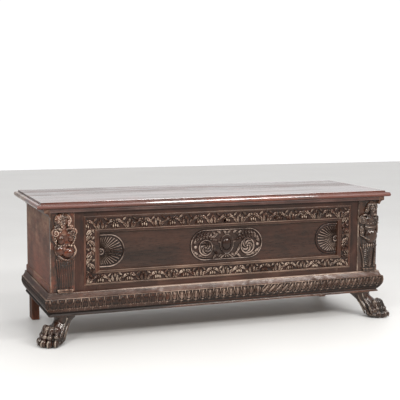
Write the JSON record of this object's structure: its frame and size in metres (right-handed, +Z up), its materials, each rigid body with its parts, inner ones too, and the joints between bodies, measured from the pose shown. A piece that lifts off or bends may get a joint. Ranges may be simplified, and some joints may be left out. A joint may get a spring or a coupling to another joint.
{
  "type": "cassone",
  "caption": "Long walnut chest with a hinged moulded lid, carved frame-and-panel front, herm corner pilasters, gadrooned base, paw feet in front and slab feet behind.",
  "frame": {"origin": "on the floor under the middle of the whole chest", "axes": "+X right along the length, front faces -Y, +Z up"},
  "size_m": [1.72, 0.627, 0.622],
  "materials": {
    "walnut_lid": "waxed and polished walnut",
    "walnut_carved": "dark carved walnut, waxed",
    "walnut_sides": "waxed walnut boards",
    "walnut_base": "dark carved walnut, worn high spots",
    "walnut_feet": "near-black carved walnut",
    "poplar_inside": "bare aged poplar",
    "wrought_iron": "forged iron, dark and dull"
  },
  "bodies": {
    "carcase": {"back_board": "walnut_sides", "back_nails": "wrought_iron", "base_moulding_front": "walnut_base", "base_moulding_left": "walnut_base", "base_moulding_right": "walnut_base", "bolt_guides": "wrought_iron", "border_fillet_bottom": "walnut_carved", "border_fillet_left": "walnut_carved", "border_fillet_right": "walnut_carved", "border_fillet_top": "walnut_carved", "bottom_batten_centre": "poplar_inside", "bottom_batten_left": "poplar_inside", "bottom_batten_right": "poplar_inside", "bottom_board_1": "poplar_inside", "bottom_board_2": "poplar_inside", "bottom_board_3": "poplar_inside", "bottom_ledger_back": "poplar_inside", "bottom_ledger_front": "poplar_inside", "corner_block_front_left": "poplar_inside", "corner_block_front_right": "poplar_inside", "corner_block_rear_left": "poplar_inside", "corner_block_rear_right": "poplar_inside", "end_board_left": "walnut_sides", "end_board_right": "walnut_sides", "end_strip_left": "walnut_sides", "end_strip_right": "walnut_sides", "frame_pegs": "walnut_carved", "front_bottom_rail": "walnut_carved", "front_panel": "walnut_carved", "front_stile_left": "walnut_carved", "front_stile_right": "walnut_carved", "front_top_rail": "walnut_carved", "herm_pilaster_left": "walnut_carved", "herm_pilaster_right": "walnut_carved", "hinge_leaf_left": "wrought_iron", "hinge_leaf_nails": "wrought_iron", "hinge_leaf_right": "wrought_iron", "hinge_pin_left": "wrought_iron", "hinge_pin_right": "wrought_iron", "lock_cover": "wrought_iron", "lock_plate": "wrought_iron", "panel_moulding_bottom": "walnut_carved", "panel_moulding_left": "walnut_carved", "panel_moulding_right": "walnut_carved", "panel_moulding_top": "walnut_carved", "paw_foot_left": "walnut_feet", "paw_foot_right": "walnut_feet", "rear_foot_left": "walnut_feet", "rear_foot_right": "walnut_feet"},
    "lid": {"hinge_strap_left": "wrought_iron", "hinge_strap_nails": "wrought_iron", "hinge_strap_right": "wrought_iron", "lid_front_board": "walnut_lid", "lid_moulding_front": "walnut_lid", "lid_moulding_left": "walnut_lid", "lid_moulding_right": "walnut_lid", "lid_rear_board": "walnut_lid", "lock_staple": "wrought_iron"},
    "lock_bolt": {"lock_bolt": "wrought_iron"}
  },
  "joints": [
    {"name": "lid_hinge", "type": "hinge", "parent": "carcase", "child": "lid", "pos_m": [0, 0.30551, 0.595], "axis": [-1, 0, 0], "range_deg": [0, 100]},
    {"name": "bolt_slide", "type": "slide", "parent": "carcase", "child": "lock_bolt", "axis": [1, 0, 0], "range_m": [0, 0.022]}
  ]
}
